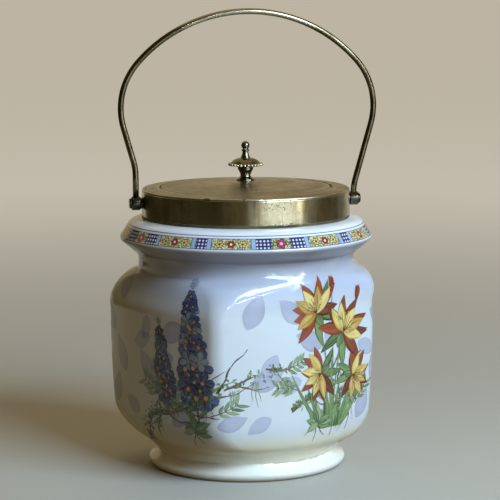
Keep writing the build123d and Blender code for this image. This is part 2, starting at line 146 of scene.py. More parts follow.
class Graph:
    """The node tree of one material or of the world, with one method for every kind of node."""

    def __init__(self, owner: Union[str, bpy.types.World]) -> None:
        """Empties the tree that it builds in.

        Args:
            owner: the name of a new material, or a world.
        """
        self.owner = bpy.data.materials.new(owner) if isinstance(owner, str) else owner
        self.owner.use_nodes = True
        self.tree = self.owner.node_tree
        self.tree.nodes.clear()

    def node(self, kind: str, settings: Optional[dict[str, Any]] = None, *inputs: Any,
             **named: Any) -> Any:
        """Adds a node.

        Args:
            kind: the node's type.
            settings: properties that are set before the inputs.
            *inputs: wires or values for the enabled sockets in order; None leaves a socket alone.
            **named: wires or values by socket name, with _ for a space.

        Returns:
            The node.
        """
        made = self.tree.nodes.new(kind)
        for key, value in (settings or {}).items():
            setattr(made, key, value)
        enabled = [socket for socket in made.inputs if socket.enabled]
        pairs = list(zip(enabled, inputs))
        pairs += [(made.inputs[key.replace("_", " ")], value) for key, value in named.items()]
        for socket, value in pairs:
            if isinstance(value, Wire):
                self.tree.links.new(value.socket, socket)
            elif value is not None:
                socket.default_value = value
        return made

    def wire(self, kind: str, settings: Optional[dict[str, Any]] = None, *inputs: Any,
             **named: Any) -> Wire:
        """Adds a node as the method node does and returns its first enabled output."""
        made = self.node(kind, settings, *inputs, **named)
        return Wire(self, next(socket for socket in made.outputs if socket.enabled))

    def place_mm(self) -> Wire:
        """Returns the Object coordinates in millimetres."""
        coordinates = self.node("ShaderNodeTexCoord")
        place = Wire(self, coordinates.outputs["Object"])
        return self.wire("ShaderNodeVectorMath", {"operation": "SCALE"}, place, Scale=1 / MM)

    def split(self, vector: Wire) -> tuple[Wire, Wire, Wire]:
        """Returns the X, Y and Z of a vector."""
        parts = self.node("ShaderNodeSeparateXYZ", None, vector)
        return tuple(Wire(self, parts.outputs[axis]) for axis in "XYZ")

    def join(self, x: Any, y: Any, z: Any) -> Wire:
        """Returns the vector of three values."""
        return self.wire("ShaderNodeCombineXYZ", None, x, y, z)

    def noise(self, vector: Wire, scale: float, detail: float = 3.0, roughness: float = 0.5) -> Wire:
        """Returns noise from 0 to 1 with about scale waves per unit of vector."""
        return self.wire("ShaderNodeTexNoise", None, vector, scale, detail, roughness)

    def mix(self, factor: Any, first: Any, second: Any) -> Wire:
        """Mixes two colours.

        Args:
            factor: how much of the second shows, a wire or a number from 0 to 1.
            first: a colour, as a wire or a tuple of three.
            second: a colour, as a wire or a tuple of three.

        Returns:
            The mixed colour.
        """
        values = (factor, first, second)
        inputs = [(*value, 1.0) if isinstance(value, tuple) else value for value in values]
        return self.wire("ShaderNodeMix", {"data_type": "RGBA"}, *inputs)

    def bump(self, height: Wire, depth_mm: float) -> Wire:
        """Returns normals for a height from 0 to 1 that stands depth_mm tall."""
        made = self.node("ShaderNodeBump", None, Height=height, Strength=1.0, Distance=depth_mm * MM)
        return Wire(self, made.outputs["Normal"])

    def finish(self, **sockets: Any) -> bpy.types.Material:
        """Closes the material with a Principled shader.

        Args:
            **sockets: wires or plain values by socket name, with _ for a space.

        Returns:
            The material.
        """
        colour = sockets.pop("Base_Color")
        if isinstance(colour, tuple):
            colour = (*colour, 1.0)
        shader = self.node("ShaderNodeBsdfPrincipled", None, Base_Color=colour, **sockets)
        output = self.node("ShaderNodeOutputMaterial")
        self.tree.links.new(shader.outputs[0], output.inputs[0])
        return self.owner


# ================================================================ finishes
class Brushing(Enum):
    """Which way the fine polishing marks of a metal piece run."""

    UPRIGHT = "up the wall"
    ROUND = "round the axis"
    NONE = "in no one direction"


@dataclass(frozen=True)
class WornPlate:
    """Thin plate, rubbed through to yellow metal on its edges and tarnished in its hollows.

    Heights and radii are lines round the axis, each its middle and half width in millimetres. Dents,
    pocked and chipped are spots, each its place and reach in millimetres. The rubbed lines are rubbed
    metal and partly painted highlight, bright where the edges catch the light. Each dent is painted light
    and shade: a painted highlight round it and painted shade in its middle.
    """

    name: str
    bright: Colour = (0.56, 0.52, 0.37)
    dull: Colour = (0.26, 0.205, 0.10)
    brushing: Brushing = Brushing.NONE
    gloss: float = 0.22
    pitting: float = 0.0
    relief_mm: float = 0.02
    rub_and_sheen: float = 0.55
    # Rubbed lines: rubbed-through metal, and partly painted highlight along the edges.
    rubbed_and_sheen_heights: tuple[Line, ...] = ()
    grimy_heights: tuple[Line, ...] = ()
    rubbed_and_sheen_radii: tuple[Line, ...] = ()
    grimy_radii: tuple[Line, ...] = ()
    dents: tuple[Spot, ...] = ()
    pocked: tuple[Spot, ...] = ()
    chipped: tuple[Spot, ...] = ()
    # Colour of the rubbed lines, partly a painted highlight.
    rubbed_and_sheen_metal: Colour = (0.66, 0.61, 0.46)
    # Painted highlight round each dent.
    dent_halo_highlight: Colour = (0.66, 0.58, 0.38)
    grime_colour: Colour = (0.05, 0.038, 0.02)
    # Colour of the pits, and of the painted shade in the middle of each dent.
    pit_and_dent_shade_colour: Colour = (0.04, 0.035, 0.02)
    brushed_radius_mm: float = 57.0
    chip_height_mm: float = 9.0

    @staticmethod
    def _away(graph: Graph, place: Wire, spot: Sequence[float], reach: float) -> Wire:
        """Returns the distance from a spot, where 1 is its reach in millimetres."""
        away = graph.node("ShaderNodeVectorMath", {"operation": "DISTANCE"}, place, tuple(spot))
        return Wire(graph, away.outputs["Value"]) / reach

    def _near(self, graph: Graph, place: Wire, spot: Sequence[float], reach: float) -> Wire:
        """Returns 1 round a spot, falling to 0 at about its reach in millimetres."""
        return 1.0 - self._away(graph, place, spot, reach).ramp(*SOFT_EDGE)

    @staticmethod
    def _lines(value: Wire, levels: Sequence[Line], ragged: Wire) -> Wire:
        """Returns 1 on narrow lines, where value is near one of the levels.

        Args:
            value: a height or a radius in millimetres.
            levels: each line's middle and half width.
            ragged: noise from 0 to 1 that frays the lines.

        Returns:
            The mask.
        """
        mask = ragged * 0.0
        for middle, half in levels:
            near = 1.0 - (abs(value - middle) / half + (ragged - 0.5) * 1.1).ramp(*SOFT_EDGE)
            mask = mask.math("MAXIMUM", near)
        return mask

    def build(self) -> bpy.types.Material:
        """Returns the material."""
        graph = Graph(self.name)
        place = graph.place_mm()
        x, y, z = graph.split(place)
        radius = (x * x + y * y).math("SQRT").math("MAXIMUM", 0.5)
        if self.brushing is Brushing.UPRIGHT:
            around = self.brushed_radius_mm
            along = graph.join(x / radius * around, y / radius * around, z * 0.05)
        elif self.brushing is Brushing.ROUND:
            along = graph.join(radius * 1.4, z * 2.0, x / radius * 1.5)
        else:
            along = place
        marks = graph.noise(along, 1.1, 5.0, 0.7)
        broad = graph.noise(along, 0.16, 3.0, 0.6)
        patches = graph.noise(place, 0.05, 6.0, 0.6)
        ragged = graph.noise(place, 0.5, 4.0, 0.7)
        stain = (patches * 0.45 + marks * 0.2 + broad * 0.35).ramp(0.38, 0.60)
        specks = graph.wire("ShaderNodeTexVoronoi", None, place, 0.75)
        spread = graph.noise(place, 0.08, 2.0).ramp(0.50, 0.60)
        pits_and_dent_shade = (1.0 - specks.ramp(0.06, 0.24)) * spread * self.pitting * 0.6
        for *spot, reach in self.pocked:
            pock = self._near(graph, place, spot, reach) * (1.0 - specks.ramp(0.24, 0.36)) * 0.9
            pits_and_dent_shade = pits_and_dent_shade.math("MAXIMUM", pock)
        chips = graph.noise(place, 1.3, 3.0, 0.6) if self.chipped else ragged
        for *spot, reach in self.chipped:
            edge = 1.0 - (z - spot[2] - (chips - 0.5) * self.chip_height_mm).ramp(0.0, 0.4)
            pits_and_dent_shade = pits_and_dent_shade.math("MAXIMUM", self._near(graph, place, spot, reach) * edge * 0.9)
        colour = graph.mix(stain, self.dull, self.bright)
        darker = tuple(0.75 * part for part in self.dull)
        colour = graph.mix(marks.ramp(0.45, 0.75) * 0.45, colour, darker)
        # Rubbed lines: rubbed metal, and partly painted highlight along the edges.
        rubbed = self._lines(z, self.rubbed_and_sheen_heights, ragged)
        rubbed = rubbed.math("MAXIMUM", self._lines(radius, self.rubbed_and_sheen_radii, ragged))
        grime = self._lines(z, self.grimy_heights, ragged)
        grime = grime.math("MAXIMUM", self._lines(radius, self.grimy_radii, ragged))
        colour = graph.mix(rubbed * self.rub_and_sheen, colour, self.rubbed_and_sheen_metal)
        colour = graph.mix(grime * 0.85, colour, self.grime_colour)
        # Each dent is painted: a painted highlight round it, and painted shade in its middle.
        for *spot, reach in self.dents:
            away = self._away(graph, place, spot, reach) + (ragged - 0.5) * 0.9
            colour = graph.mix((1.0 - away.ramp(1.2, 1.6)) * 0.7, colour, self.dent_halo_highlight)
            pits_and_dent_shade = pits_and_dent_shade.math("MAXIMUM", (1.0 - away.ramp(0.5, 1.1)) * 0.85)
        colour = graph.mix(pits_and_dent_shade, colour, self.pit_and_dent_shade_colour)
        roughness = marks.span(self.gloss - 0.06, self.gloss + 0.10)
        roughness = roughness + (1.0 - stain) * 0.08 + (pits_and_dent_shade + grime) * 0.3
        height = marks * 0.3 + patches * 0.7 - pits_and_dent_shade - grime * 0.3
        return graph.finish(
            Base_Color=colour,
            Metallic=1.0 - grime * 0.5,
            Roughness=roughness,
            Normal=graph.bump(height, self.relief_mm),
        )


@dataclass(frozen=True)
class PotteryGlaze:
    """White earthenware under a clear glossy glaze, creamier where the glaze lies thick at the foot.

    Its colours go from white at the foot through pale blue to grey at the neck, set under this studio's
    coloured light. The grey neck is painted shade, for the shade under the flange. The shoulder's bluer
    tint is partly painted shade. The bright foot and the cream crease above it are partly painted light,
    lifting the shade under the belly. Under neutral light the neck looks darker than plain white glaze.
    """

    name: str
    # The foot and the crease are the glaze's white and cream, and partly painted light in the belly's
    # shade.
    foot: Colour = (0.96, 0.96, 0.91)
    crease: Colour = (0.93, 0.87, 0.68)
    belly: Colour = (0.72, 0.76, 0.83)
    # The shoulder's bluer tint is partly painted shade.
    shoulder: Colour = (0.57, 0.62, 0.80)
    # The grey neck is painted shade, for the shade under the flange.
    neck: Colour = (0.40, 0.41, 0.50)
    rim: Colour = (0.80, 0.84, 0.95)
    ring_line: Colour = (0.05, 0.07, 0.18)
    ring_line_mm: tuple[float, float] = (134.45, 134.85)
    ring_line_radius_mm: float = 62.0
    cloud: Colour = (0.86, 0.80, 0.68)
    speck: Colour = (0.16, 0.10, 0.05)
    hairline: Colour = (0.45, 0.38, 0.28)
    bare_clay: Colour = (0.62, 0.52, 0.38)
    clay_grit: Colour = (0.45, 0.36, 0.25)
    foot_top_mm: float = 16.0
    bare_ring_mm: float = 0.35
    drift_mm: float = 9.0
    relief_mm: float = 0.35

    def build(self) -> bpy.types.Material:
        """Returns the material."""
        graph = Graph(self.name)
        place = graph.place_mm()
        x, y, z = graph.split(place)
        cloud = graph.noise(place, 0.03, 4.0, 0.55)
        level = z + (cloud - 0.5) * self.drift_mm
        above_foot = level.ramp(self.foot_top_mm - 6.0, self.foot_top_mm + 14.0)
        # White foot, brighter than the belly: partly painted light in the belly's shade.
        colour = graph.mix(above_foot, self.foot, self.belly)
        # Cream crease above the foot: the glaze's cream, and partly painted light in the belly's shade.
        colour = graph.mix(level.ramp(7.0, 13.0) * (1.0 - level.ramp(18.0, 30.0)), colour, self.crease)
        # Bluer shoulder: partly painted shade.
        colour = graph.mix(level.ramp(90.0, 106.0), colour, self.shoulder)
        # Grey neck: painted shade under the flange.
        colour = graph.mix(level.ramp(104.0, 116.0), colour, self.neck)
        colour = graph.mix(z.ramp(126.6, 127.8), colour, self.rim)
        colour = graph.mix(cloud.ramp(0.45, 0.75) * 0.25, colour, self.cloud)
        specks = graph.wire("ShaderNodeTexVoronoi", None, place, 0.16)
        strays = graph.noise(place, 0.35, 1.0).ramp(0.62, 0.66)
        dots = (1.0 - specks.ramp(0.03, 0.07)) * strays
        colour = graph.mix(dots * 0.7, colour, self.speck)
        crazing = graph.wire("ShaderNodeTexVoronoi", {"feature": "DISTANCE_TO_EDGE"}, place, 0.12)
        hairlines = (1.0 - crazing.ramp(0.0, 0.012)) * cloud.ramp(0.5, 0.7)
        colour = graph.mix(hairlines * 0.16, colour, self.hairline)
        outside = (x * x + y * y).math("SQRT") > self.ring_line_radius_mm
        ring = z.between(*self.ring_line_mm) * outside
        colour = graph.mix(ring * cloud.span(0.7, 1.0), colour, self.ring_line)
        bare = 1.0 - z.ramp(self.bare_ring_mm, self.bare_ring_mm + 0.15)
        grit = graph.noise(place, 2.5, 4.0)
        colour = graph.mix(bare, colour, graph.mix(grit, self.bare_clay, self.clay_grit))
        roughness = graph.noise(place, 0.12, 3.0).span(0.05, 0.13) + bare * 0.7
        waves = graph.noise(place, 0.045, 2.0, 0.4)
        height = waves + graph.noise(place, 0.4, 2.0) * 0.06 - dots * 0.05
        return graph.finish(
            Base_Color=colour,
            Roughness=roughness,
            IOR=GLAZE_IOR,
            Normal=graph.bump(height, self.relief_mm),
        )


@dataclass(frozen=True)
class Ink:
    """One colour of the print under the glaze, laid in strokes that are darker at their edges."""

    name: str
    light: Colour
    dark: Colour
    edge: float = 0.6
    veins: float = 0.5

    def build(self) -> bpy.types.Material:
        """Returns the material. It reads the stroke's UV map, across and along, and its tone."""
        graph = Graph(self.name)
        coordinates = graph.node("ShaderNodeUVMap", {"uv_map": STROKE_MAP})
        across, along, _ = graph.split(Wire(graph, coordinates.outputs[0]))
        shade_of_stroke = graph.node("ShaderNodeAttribute", {"attribute_name": TONE})
        tone = Wire(graph, shade_of_stroke.outputs["Fac"])
        place = graph.place_mm()
        side = abs(across * 2.0 - 1.0)
        drawn = graph.noise(graph.join(across * 7.0, along * 1.3, tone * 9.0), 1.0, 3.0).ramp(0.4, 0.62)
        rim = side.ramp(0.55, 1.0) * self.edge + (1.0 - along.ramp(0.0, 0.35)) * 0.35
        blot = graph.noise(place, 0.9, 2.0)
        shade = rim + drawn * self.veins + (tone - 0.5) * 0.9 + (blot - 0.5) * 0.5
        shade = shade.math("ADD", 0.0, clamp=True)
        return graph.finish(
            Base_Color=graph.mix(shade, self.light, self.dark),
            Roughness=blot.span(0.06, 0.15),
            IOR=GLAZE_IOR,
        )


@dataclass(frozen=True)
class MosaicBorder:
    """A band of cream flower panels, sky-blue bars, roses, and dark blue lattice with white squares."""

    name: str
    low_mm: float
    high_mm: float
    repeats: int = 5
    radius_mm: float = 67.6
    first_turn: float = 226.4
    slant: float = 1.2
    bar_mm: float = 2.5
    lattice_mm: float = 8.4
    rose_mm: float = 10.2
    panel_mm: float = 20.6
    small_lattice_mm: float = 6.2
    cell_mm: float = 2.0
    outline: Colour = (0.05, 0.03, 0.02)
    ruled: Colour = (0.05, 0.04, 0.08)
    cream: tuple[Colour, Colour] = ((0.52, 0.40, 0.19), (0.82, 0.75, 0.52))
    green: Colour = (0.14, 0.20, 0.07)
    sky: tuple[Colour, Colour] = ((0.26, 0.40, 0.66), (0.42, 0.56, 0.80))
    lattice: tuple[Colour, Colour] = ((0.03, 0.05, 0.17), (0.80, 0.80, 0.86))
    lattice_edge: Colour = (0.40, 0.22, 0.30)
    sepals: tuple[Colour, Colour] = ((0.16, 0.30, 0.10), (0.55, 0.62, 0.20))
    rose: tuple[Colour, Colour] = ((0.56, 0.06, 0.20), (0.80, 0.46, 0.56))
    panel_flowers: tuple[tuple[float, Colour, Colour], ...] = (
        (-1.15, (0.80, 0.62, 0.24), (0.24, 0.05, 0.03)),
        (0.0, (0.46, 0.05, 0.05), (0.86, 0.78, 0.58)),
        (1.15, (0.82, 0.66, 0.30), (0.28, 0.05, 0.03)),
    )

    @property
    def period_mm(self) -> float:
        """Returns the length of one repeat round the band."""
        return 2 * math.pi * self.radius_mm / self.repeats

    def layout(self) -> list[tuple[str, float, float]]:
        """Returns the stretches of one repeat: the kind, the start and the end in millimetres."""
        order = [
            ("bar", self.bar_mm),
            ("lattice", self.lattice_mm),
            ("rose", self.rose_mm),
            ("lattice", self.lattice_mm),
            ("bar", self.bar_mm),
            ("panel", self.panel_mm),
            ("bar", self.bar_mm),
            ("lattice", self.small_lattice_mm),
            ("bar", self.bar_mm),
        ]
        stretches = []
        start = 0.0
        for kind, length in order:
            stretches.append((kind, start, start + length))
            start += length
        stretches.append(("panel", start, self.period_mm))
        return stretches

    def _blossom(self, graph: Graph, along: Wire, up: Wire, colour: Wire, centre: float,
                 size: float, petal: Colour, eye: Colour, petals: int) -> Wire:
        """Paints a round flower on the band.

        Args:
            graph: the material's graph.
            along: millimetres along one repeat.
            up: millimetres from the middle of the band.
            colour: the ground.
            centre: the flower's place along the repeat.
            size: its radius.
            petal: the colour of its petals.
            eye: the colour of its middle.
            petals: how many petals it has.

        Returns:
            The ground with the flower.
        """
        aside = along - centre
        reach = (aside * aside + up * up).math("SQRT")
        lobes = abs((up.math("ARCTAN2", aside) * (petals / 2)).math("COSINE"))
        colour = graph.mix(reach < (lobes * 0.35 + 0.82) * size, colour, self.outline)
        inside = reach < (lobes * 0.35 + 0.62) * size
        shaded = graph.mix(lobes, tuple(0.35 * part for part in petal), petal)
        colour = graph.mix(inside, colour, shaded)
        return graph.mix(reach < size * 0.34, colour, eye)

    def build(self) -> bpy.types.Material:
        """Returns the material."""
        graph = Graph(self.name)
        place = graph.place_mm()
        x, y, z = graph.split(place)
        turn = y.math("ARCTAN2", x) + math.radians(540.0 - self.first_turn)
        along = (turn * self.radius_mm).repeat(self.period_mm)
        middle = (self.low_mm + self.high_mm) / 2
        half = (self.high_mm - self.low_mm) / 2 * self.slant
        up = (z - middle) * self.slant
        mottle = graph.noise(place, 1.1, 3.0)
        cream = graph.mix(mottle.ramp(0.42, 0.6), *self.cream)
        green = graph.noise(place, 1.0, 2.0).ramp(0.48, 0.53)
        colour = graph.mix(green * 0.85, cream, self.green)
        cell_x = abs(along.repeat(self.cell_mm) - self.cell_mm / 2)
        cell_y = abs((up + half).repeat(self.cell_mm) - self.cell_mm / 2)
        square = cell_x.math("MAXIMUM", cell_y) < 0.5
        lattice = graph.mix(square, *self.lattice)
        lattice = graph.mix((cell_x + cell_y).between(0.62, 0.84) * 0.6, lattice, self.lattice_edge)
        sky = graph.mix(graph.noise(place, 0.8, 2.0), *self.sky)
        grounds = {"lattice": lattice, "bar": sky}
        rules = abs(up) > half * 0.9
        for kind, start, end in self.layout():
            if kind in grounds:
                colour = graph.mix(along.between(start, end), colour, grounds[kind])
            rules = rules.math("MAXIMUM", abs(along - start) < 0.2)
            mid = (start + end) / 2
            quarter = (end - start) / 4
            if kind == "rose":
                for centre in (mid - 3.4, mid + 3.4):
                    colour = self._blossom(graph, along, up, colour, centre, 1.3, *self.sepals, 3)
                colour = self._blossom(graph, along, up, colour, mid, 2.6, *self.rose, 5)
            elif kind == "panel":
                for share, petal, eye in self.panel_flowers:
                    centre = mid + share * quarter
                    colour = self._blossom(graph, along, up, colour, centre, 2.0, petal, eye, 6)
        colour = graph.mix(rules * 0.9, colour, self.ruled)
        return graph.finish(
            Base_Color=colour,
            Roughness=mottle.span(0.07, 0.16),
            IOR=GLAZE_IOR,
        )


@dataclass(frozen=True)
class HiddenStuff:
    """A dull material for what lies out of sight, such as cement and screws."""

    name: str
    light: Colour
    dark: Colour
    metallic: float
    roughness: float
    spread: float = 0.08

    def build(self) -> bpy.types.Material:
        """Returns the material."""
        graph = Graph(self.name)
        place = graph.place_mm()
        grain = graph.noise(place, 0.8, 6.0, 0.65)
        return graph.finish(
            Base_Color=graph.mix(grain.ramp(0.3, 0.7), self.dark, self.light),
            Metallic=self.metallic,
            Roughness=grain.span(self.roughness - self.spread, self.roughness + self.spread),
            Normal=graph.bump(grain, 0.06),
        )


@dataclass(frozen=True)
class StagePaint:
    """Paint of the floor and the cards.

    Its glow is seen by the camera and by gloss alone, and grows from near_mm to far_mm from the axis.
    Where bounce is given, diffuse rays meet that colour in place of the paint's own.
    """

    name: str
    colour: Colour
    roughness: float = 0.6
    glow: Colour = (0.0, 0.0, 0.0)
    bounce: Optional[Colour] = None
    near_mm: float = 150.0
    far_mm: float = 1500.0

    def build(self) -> bpy.types.Material:
        """Returns the material."""
        graph = Graph(self.name)
        place = graph.place_mm()
        x, y, _ = graph.split(place)
        grain = graph.noise(place, 0.35, 4.0)
        tint = graph.mix(grain * 0.12, self.colour, tuple(0.85 * part for part in self.colour))
        path = graph.node("ShaderNodeLightPath")
        if self.bounce is not None:
            tint = graph.mix(Wire(graph, path.outputs["Is Diffuse Ray"]), tint, self.bounce)
        seen = Wire(graph, path.outputs["Is Camera Ray"]) + Wire(graph, path.outputs["Is Glossy Ray"])
        far = (x * x + y * y).math("SQRT").ramp(self.near_mm, self.far_mm)
        glow = graph.mix(seen * far, (0.0, 0.0, 0.0), self.glow)
        return graph.finish(
            Base_Color=tint,
            Roughness=self.roughness,
            Emission_Color=glow,
            Emission_Strength=1.0,
        )


# ================================================================ mesh work
def deselect() -> None:
    """Leaves nothing selected."""
    bpy.ops.object.select_all(action="DESELECT")


def select(objects: Iterable[bpy.types.Object]) -> None:
    """Selects these objects alone.

    Args:
        objects: the objects, the first of which becomes the active one.
    """
    chosen = list(objects)
    deselect()
    for piece in chosen:
        piece.select_set(True)
    bpy.context.view_layer.objects.active = chosen[0]


def merge_doubles(distance_mm: float) -> None:
    """Joins the active piece's vertices that lie close together.

    Args:
        distance_mm: how close.
    """
    bpy.ops.object.mode_set(mode="EDIT")
    bpy.ops.mesh.select_all(action="SELECT")
    bpy.ops.mesh.remove_doubles(threshold=distance_mm * MM)
    bpy.ops.object.mode_set(mode="OBJECT")


def remove_faces(piece: bpy.types.Object, test: Callable[[float], bool]) -> None:
    """Deletes some of a piece's faces.

    Args:
        piece: the piece.
        test: tells from a face's turn round Z, in degrees from 0 to 360, whether it goes.
    """
    select([piece])
    bpy.ops.object.mode_set(mode="EDIT")
    bpy.ops.mesh.select_mode(type="FACE")
    bpy.ops.mesh.select_all(action="DESELECT")
    bpy.ops.object.mode_set(mode="OBJECT")
    for face in piece.data.polygons:
        face.select = test(math.degrees(math.atan2(face.center.y, face.center.x)) % 360)
    bpy.ops.object.mode_set(mode="EDIT")
    bpy.ops.mesh.delete(type="FACE")
    bpy.ops.object.mode_set(mode="OBJECT")


def dress(piece: bpy.types.Object, material: bpy.types.Material) -> None:
    """Gives a piece one material."""
    piece.data.materials.clear()
    piece.data.materials.append(material)


def dress_nodes(names: Iterable[str], material: bpy.types.Material) -> None:
    """Gives CAD nodes one material.

    Args:
        names: the nodes' names.
        material: the material.
    """
    for name in names:
        dress(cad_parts[name], material)
        log.info("dressed %s in %s", name, material.name)


def smooth_copy(node: str, name: str, angle: float) -> bpy.types.Object:
    """Copies a CAD node, joins its loose triangles and shades it smooth up to angle.

    Args:
        node: the CAD node.
        name: the copy's name.
        angle: the angle in degrees above which an edge stays sharp.

    Returns:
        The copy, which stands for the node.
    """
    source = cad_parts[node]
    piece = bpy.data.objects.new(name, source.data.copy())
    bpy.context.scene.collection.objects.link(piece)
    select([piece])
    merge_doubles(0.005)
    bpy.ops.object.shade_smooth_by_angle(angle=math.radians(angle))
    log.info("%s: %d faces", name, len(piece.data.polygons))
    return piece


def skin_node(node: str, body: str, material: bpy.types.Material,
              angle: float) -> bpy.types.Object:
    """Stands a smooth dressed skin in for a CAD node.

    Args:
        node: the CAD node.
        body: the body that the node rides on.
        material: the skin's finish.
        angle: the angle in degrees above which an edge stays sharp.

    Returns:
        The skin.
    """
    skin = smooth_copy(node, f"{node}_skin", angle)
    dress(skin, material)
    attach(skin, body)
    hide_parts(node)
    return skin


# ================================================================ the studio
@dataclass(frozen=True)
class Lamp:
    """A soft rectangular light that stands round the object and looks at it.

    Its turn is its direction from the object in degrees from X, its size is its width and height, and
    its power is in watts. One that is only_gloss gives highlights and no other light.
    """

    name: str
    turn: float
    distance: float
    height: float
    size: tuple[float, float]
    power: float
    colour: Colour
    only_gloss: bool = False
    aim_height: float = 0.08

    def build(self) -> None:
        """Adds the lamp."""
        light = bpy.data.lights.new(self.name, "AREA")
        light.shape = "RECTANGLE"
        light.size, light.size_y = self.size
        light.energy = self.power
        light.color = self.colour
        holder = bpy.data.objects.new(self.name, light)
        holder.visible_diffuse = not self.only_gloss
        angle = math.radians(self.turn)
        across, away = self.distance * math.cos(angle), self.distance * math.sin(angle)
        place = Vector((across, away, self.height))
        aim = Vector((0.0, 0.0, self.aim_height)) - place
        turned = aim.to_track_quat("-Z", "Y").to_matrix().to_4x4()
        holder.matrix_world = Matrix.Translation(place) @ turned
        bpy.context.scene.collection.objects.link(holder)


@dataclass
class Studio:
    """Camera, lamps, floor, cards and surround.

    The light is coloured: blue from the window, amber from above and brown from the room.
    """

    lens_mm: float = 154.7
    sensor_mm: float = 36.0
    camera_place: tuple[float, float, float] = (-0.2041, -1.1577, 0.2820)
    camera_down: float = 7.918
    camera_turn: float = -10.109
    camera_roll: float = -0.258
    floor_size: float = 60.0
    floor_cells: int = 8
    pale: Colour = (0.52, 0.51, 0.48)
    far_glow: Colour = (0.36, 0.34, 0.30)
    floor_bounce: Colour = (0.13, 0.080, 0.014)
    lamps: tuple[Lamp, ...] = (
        Lamp("window_light", 304.0, 1.15, 0.80, (0.85, 0.52), 23.8, (0.65, 0.85, 1.0)),
        Lamp("low_window_light", 298.5, 1.15, 0.19, (0.93, 0.36), 1.35, (0.80, 0.91, 1.0), True),
        Lamp("sill_light", 307.0, 1.13, 0.34, (1.40, 0.018), 3.3, (0.88, 0.95, 1.0), True),
        Lamp("edge_light", 320.0, 1.12, 0.55, (0.075, 1.0), 2.2, (0.90, 0.95, 1.0), True),
        Lamp("top_light", 80.0, 0.05, 1.35, (1.1, 1.1), 1.7, (1.0, 0.82, 0.50)),
    )
    room_front: Colour = (0.080, 0.050, 0.012)
    room_back: Colour = (0.44, 0.36, 0.22)
    room_edge: tuple[float, float] = (0.15, 0.80)
    room_tilt: float = 0.25
    card_distance: float = 0.55
    card_height: float = 0.34
    card_sides: int = 144
    cards: tuple[tuple[float, float, Colour], ...] = (
        (120.0, 238.0, (0.064, 0.043, 0.008)),
        (238.0, 265.0, (0.30, 0.25, 0.15)),
        (326.0, 395.0, (0.54, 0.52, 0.43)),
    )

    def add_camera(self) -> None:
        """Adds the camera."""
        view = bpy.data.cameras.new("camera")
        view.lens = self.lens_mm
        view.sensor_width = self.sensor_mm
        view.clip_end = 100.0
        camera = bpy.data.objects.new("camera", view)
        turn = Matrix.Rotation(math.radians(self.camera_turn), 4, "Z")
        tip = Matrix.Rotation(math.radians(90.0 - self.camera_down), 4, "X")
        roll = Matrix.Rotation(math.radians(self.camera_roll), 4, "Z")
        camera.matrix_world = Matrix.Translation(self.camera_place) @ turn @ tip @ roll
        bpy.context.scene.collection.objects.link(camera)
        bpy.context.scene.camera = camera

    def add_floor(self) -> None:
        """Adds the floor."""
        deselect()
        cells = self.floor_cells
        bpy.ops.mesh.primitive_grid_add(x_subdivisions=cells, y_subdivisions=cells, size=self.floor_size)
        floor = bpy.context.active_object
        floor.name = "floor"
        paint = StagePaint("pale_floor", self.pale, 0.6, self.far_glow, self.floor_bounce)
        dress(floor, paint.build())

    def add_cards(self) -> None:
        """Adds the cards round the object, dark, dull and pale, which only gloss mirrors."""
        for number, (first, last, colour) in enumerate(self.cards):
            deselect()
            bpy.ops.mesh.primitive_cylinder_add(
                vertices=self.card_sides, radius=self.card_distance, depth=self.card_height,
                end_fill_type="NOTHING", location=(0, 0, self.card_height / 2),
            )
            card = bpy.context.active_object
            card.name = f"dark_card_{number}"
            remove_faces(card, lambda turn, a=first, b=last: not (a < turn < b or a < turn + 360 < b))
            log.info("%s: %d faces", card.name, len(card.data.polygons))
            bpy.ops.object.transform_apply(location=True, rotation=True, scale=True)
            dress(card, StagePaint(f"dark_card_paint_{number}", colour, 0.9).build())
            card.visible_camera = card.visible_diffuse = card.visible_shadow = False

    def add_surround(self) -> None:
        """Sets the world: a dim warm room in front, and a pale wall behind the object."""
        world = bpy.data.worlds.new("surround")
        bpy.context.scene.world = world
        graph = Graph(world)
        coordinates = graph.node("ShaderNodeTexCoord")
        way = Wire(graph, coordinates.outputs["Generated"])
        back = math.radians(270.0 + self.camera_turn - 180.0)
        facing = graph.node("ShaderNodeVectorMath", {"operation": "DOT_PRODUCT"}, way,
                            (math.cos(back), math.sin(back), self.room_tilt))
        share = Wire(graph, facing.outputs["Value"]).ramp(*self.room_edge)
        path = graph.node("ShaderNodeLightPath")
        share = share.math("MAXIMUM", Wire(graph, path.outputs["Is Camera Ray"]))
        room = graph.mix(share, self.room_front, self.room_back)
        light = graph.node("ShaderNodeBackground", None, room, 1.0)
        output = graph.node("ShaderNodeOutputWorld")
        graph.tree.links.new(light.outputs[0], output.inputs[0])

    def build(self) -> None:
        """Sets up the whole studio."""
        self.add_camera()
        self.add_floor()
        self.add_cards()
        self.add_surround()
        for lamp in self.lamps:
            lamp.build()
        bpy.context.scene.view_settings.view_transform = "Standard"


# ================================================================ the print under the glaze
class Form(Enum):
    """Outlines of a stroke: how its half width grows and shrinks from its root to its tip."""

    LEAF = "pointed at both ends"
    PETAL = "broad towards its tip"
    BLADE = "long and tapering"
    STEM = "even"
    TWIG = "knobbly and tapering"
    DOT = "round"

    def width(self, t: float, seed: float) -> float:
        """Returns the half width of a stroke at one place.

        Args:
            t: the place, from 0 at the root to 1 at the tip.
            seed: a number that moves the knobs of a twig.

        Returns:
            The half width as a share of the widest.
        """
        if self is Form.LEAF:
            return math.sin(math.pi * t**0.85) ** 0.95
        if self is Form.PETAL:
            return 0.18 * (1 - t) + math.sin(math.pi * min(t, 0.999) ** 1.8) ** 0.6
        if self is Form.BLADE:
            return min(1.0, 5 * t + 0.35) * (1 - t) ** 0.7
        if self is Form.STEM:
            return 1.0 - 0.25 * t
        if self is Form.TWIG:
            knobs = 1.0 + 0.28 * math.sin(19 * t + 7 * seed) + 0.12 * math.sin(53 * t + seed)
            return (1.0 - 0.72 * t) * knobs
        return math.sqrt(max(0.0, 1 - (2 * t - 1) ** 2))


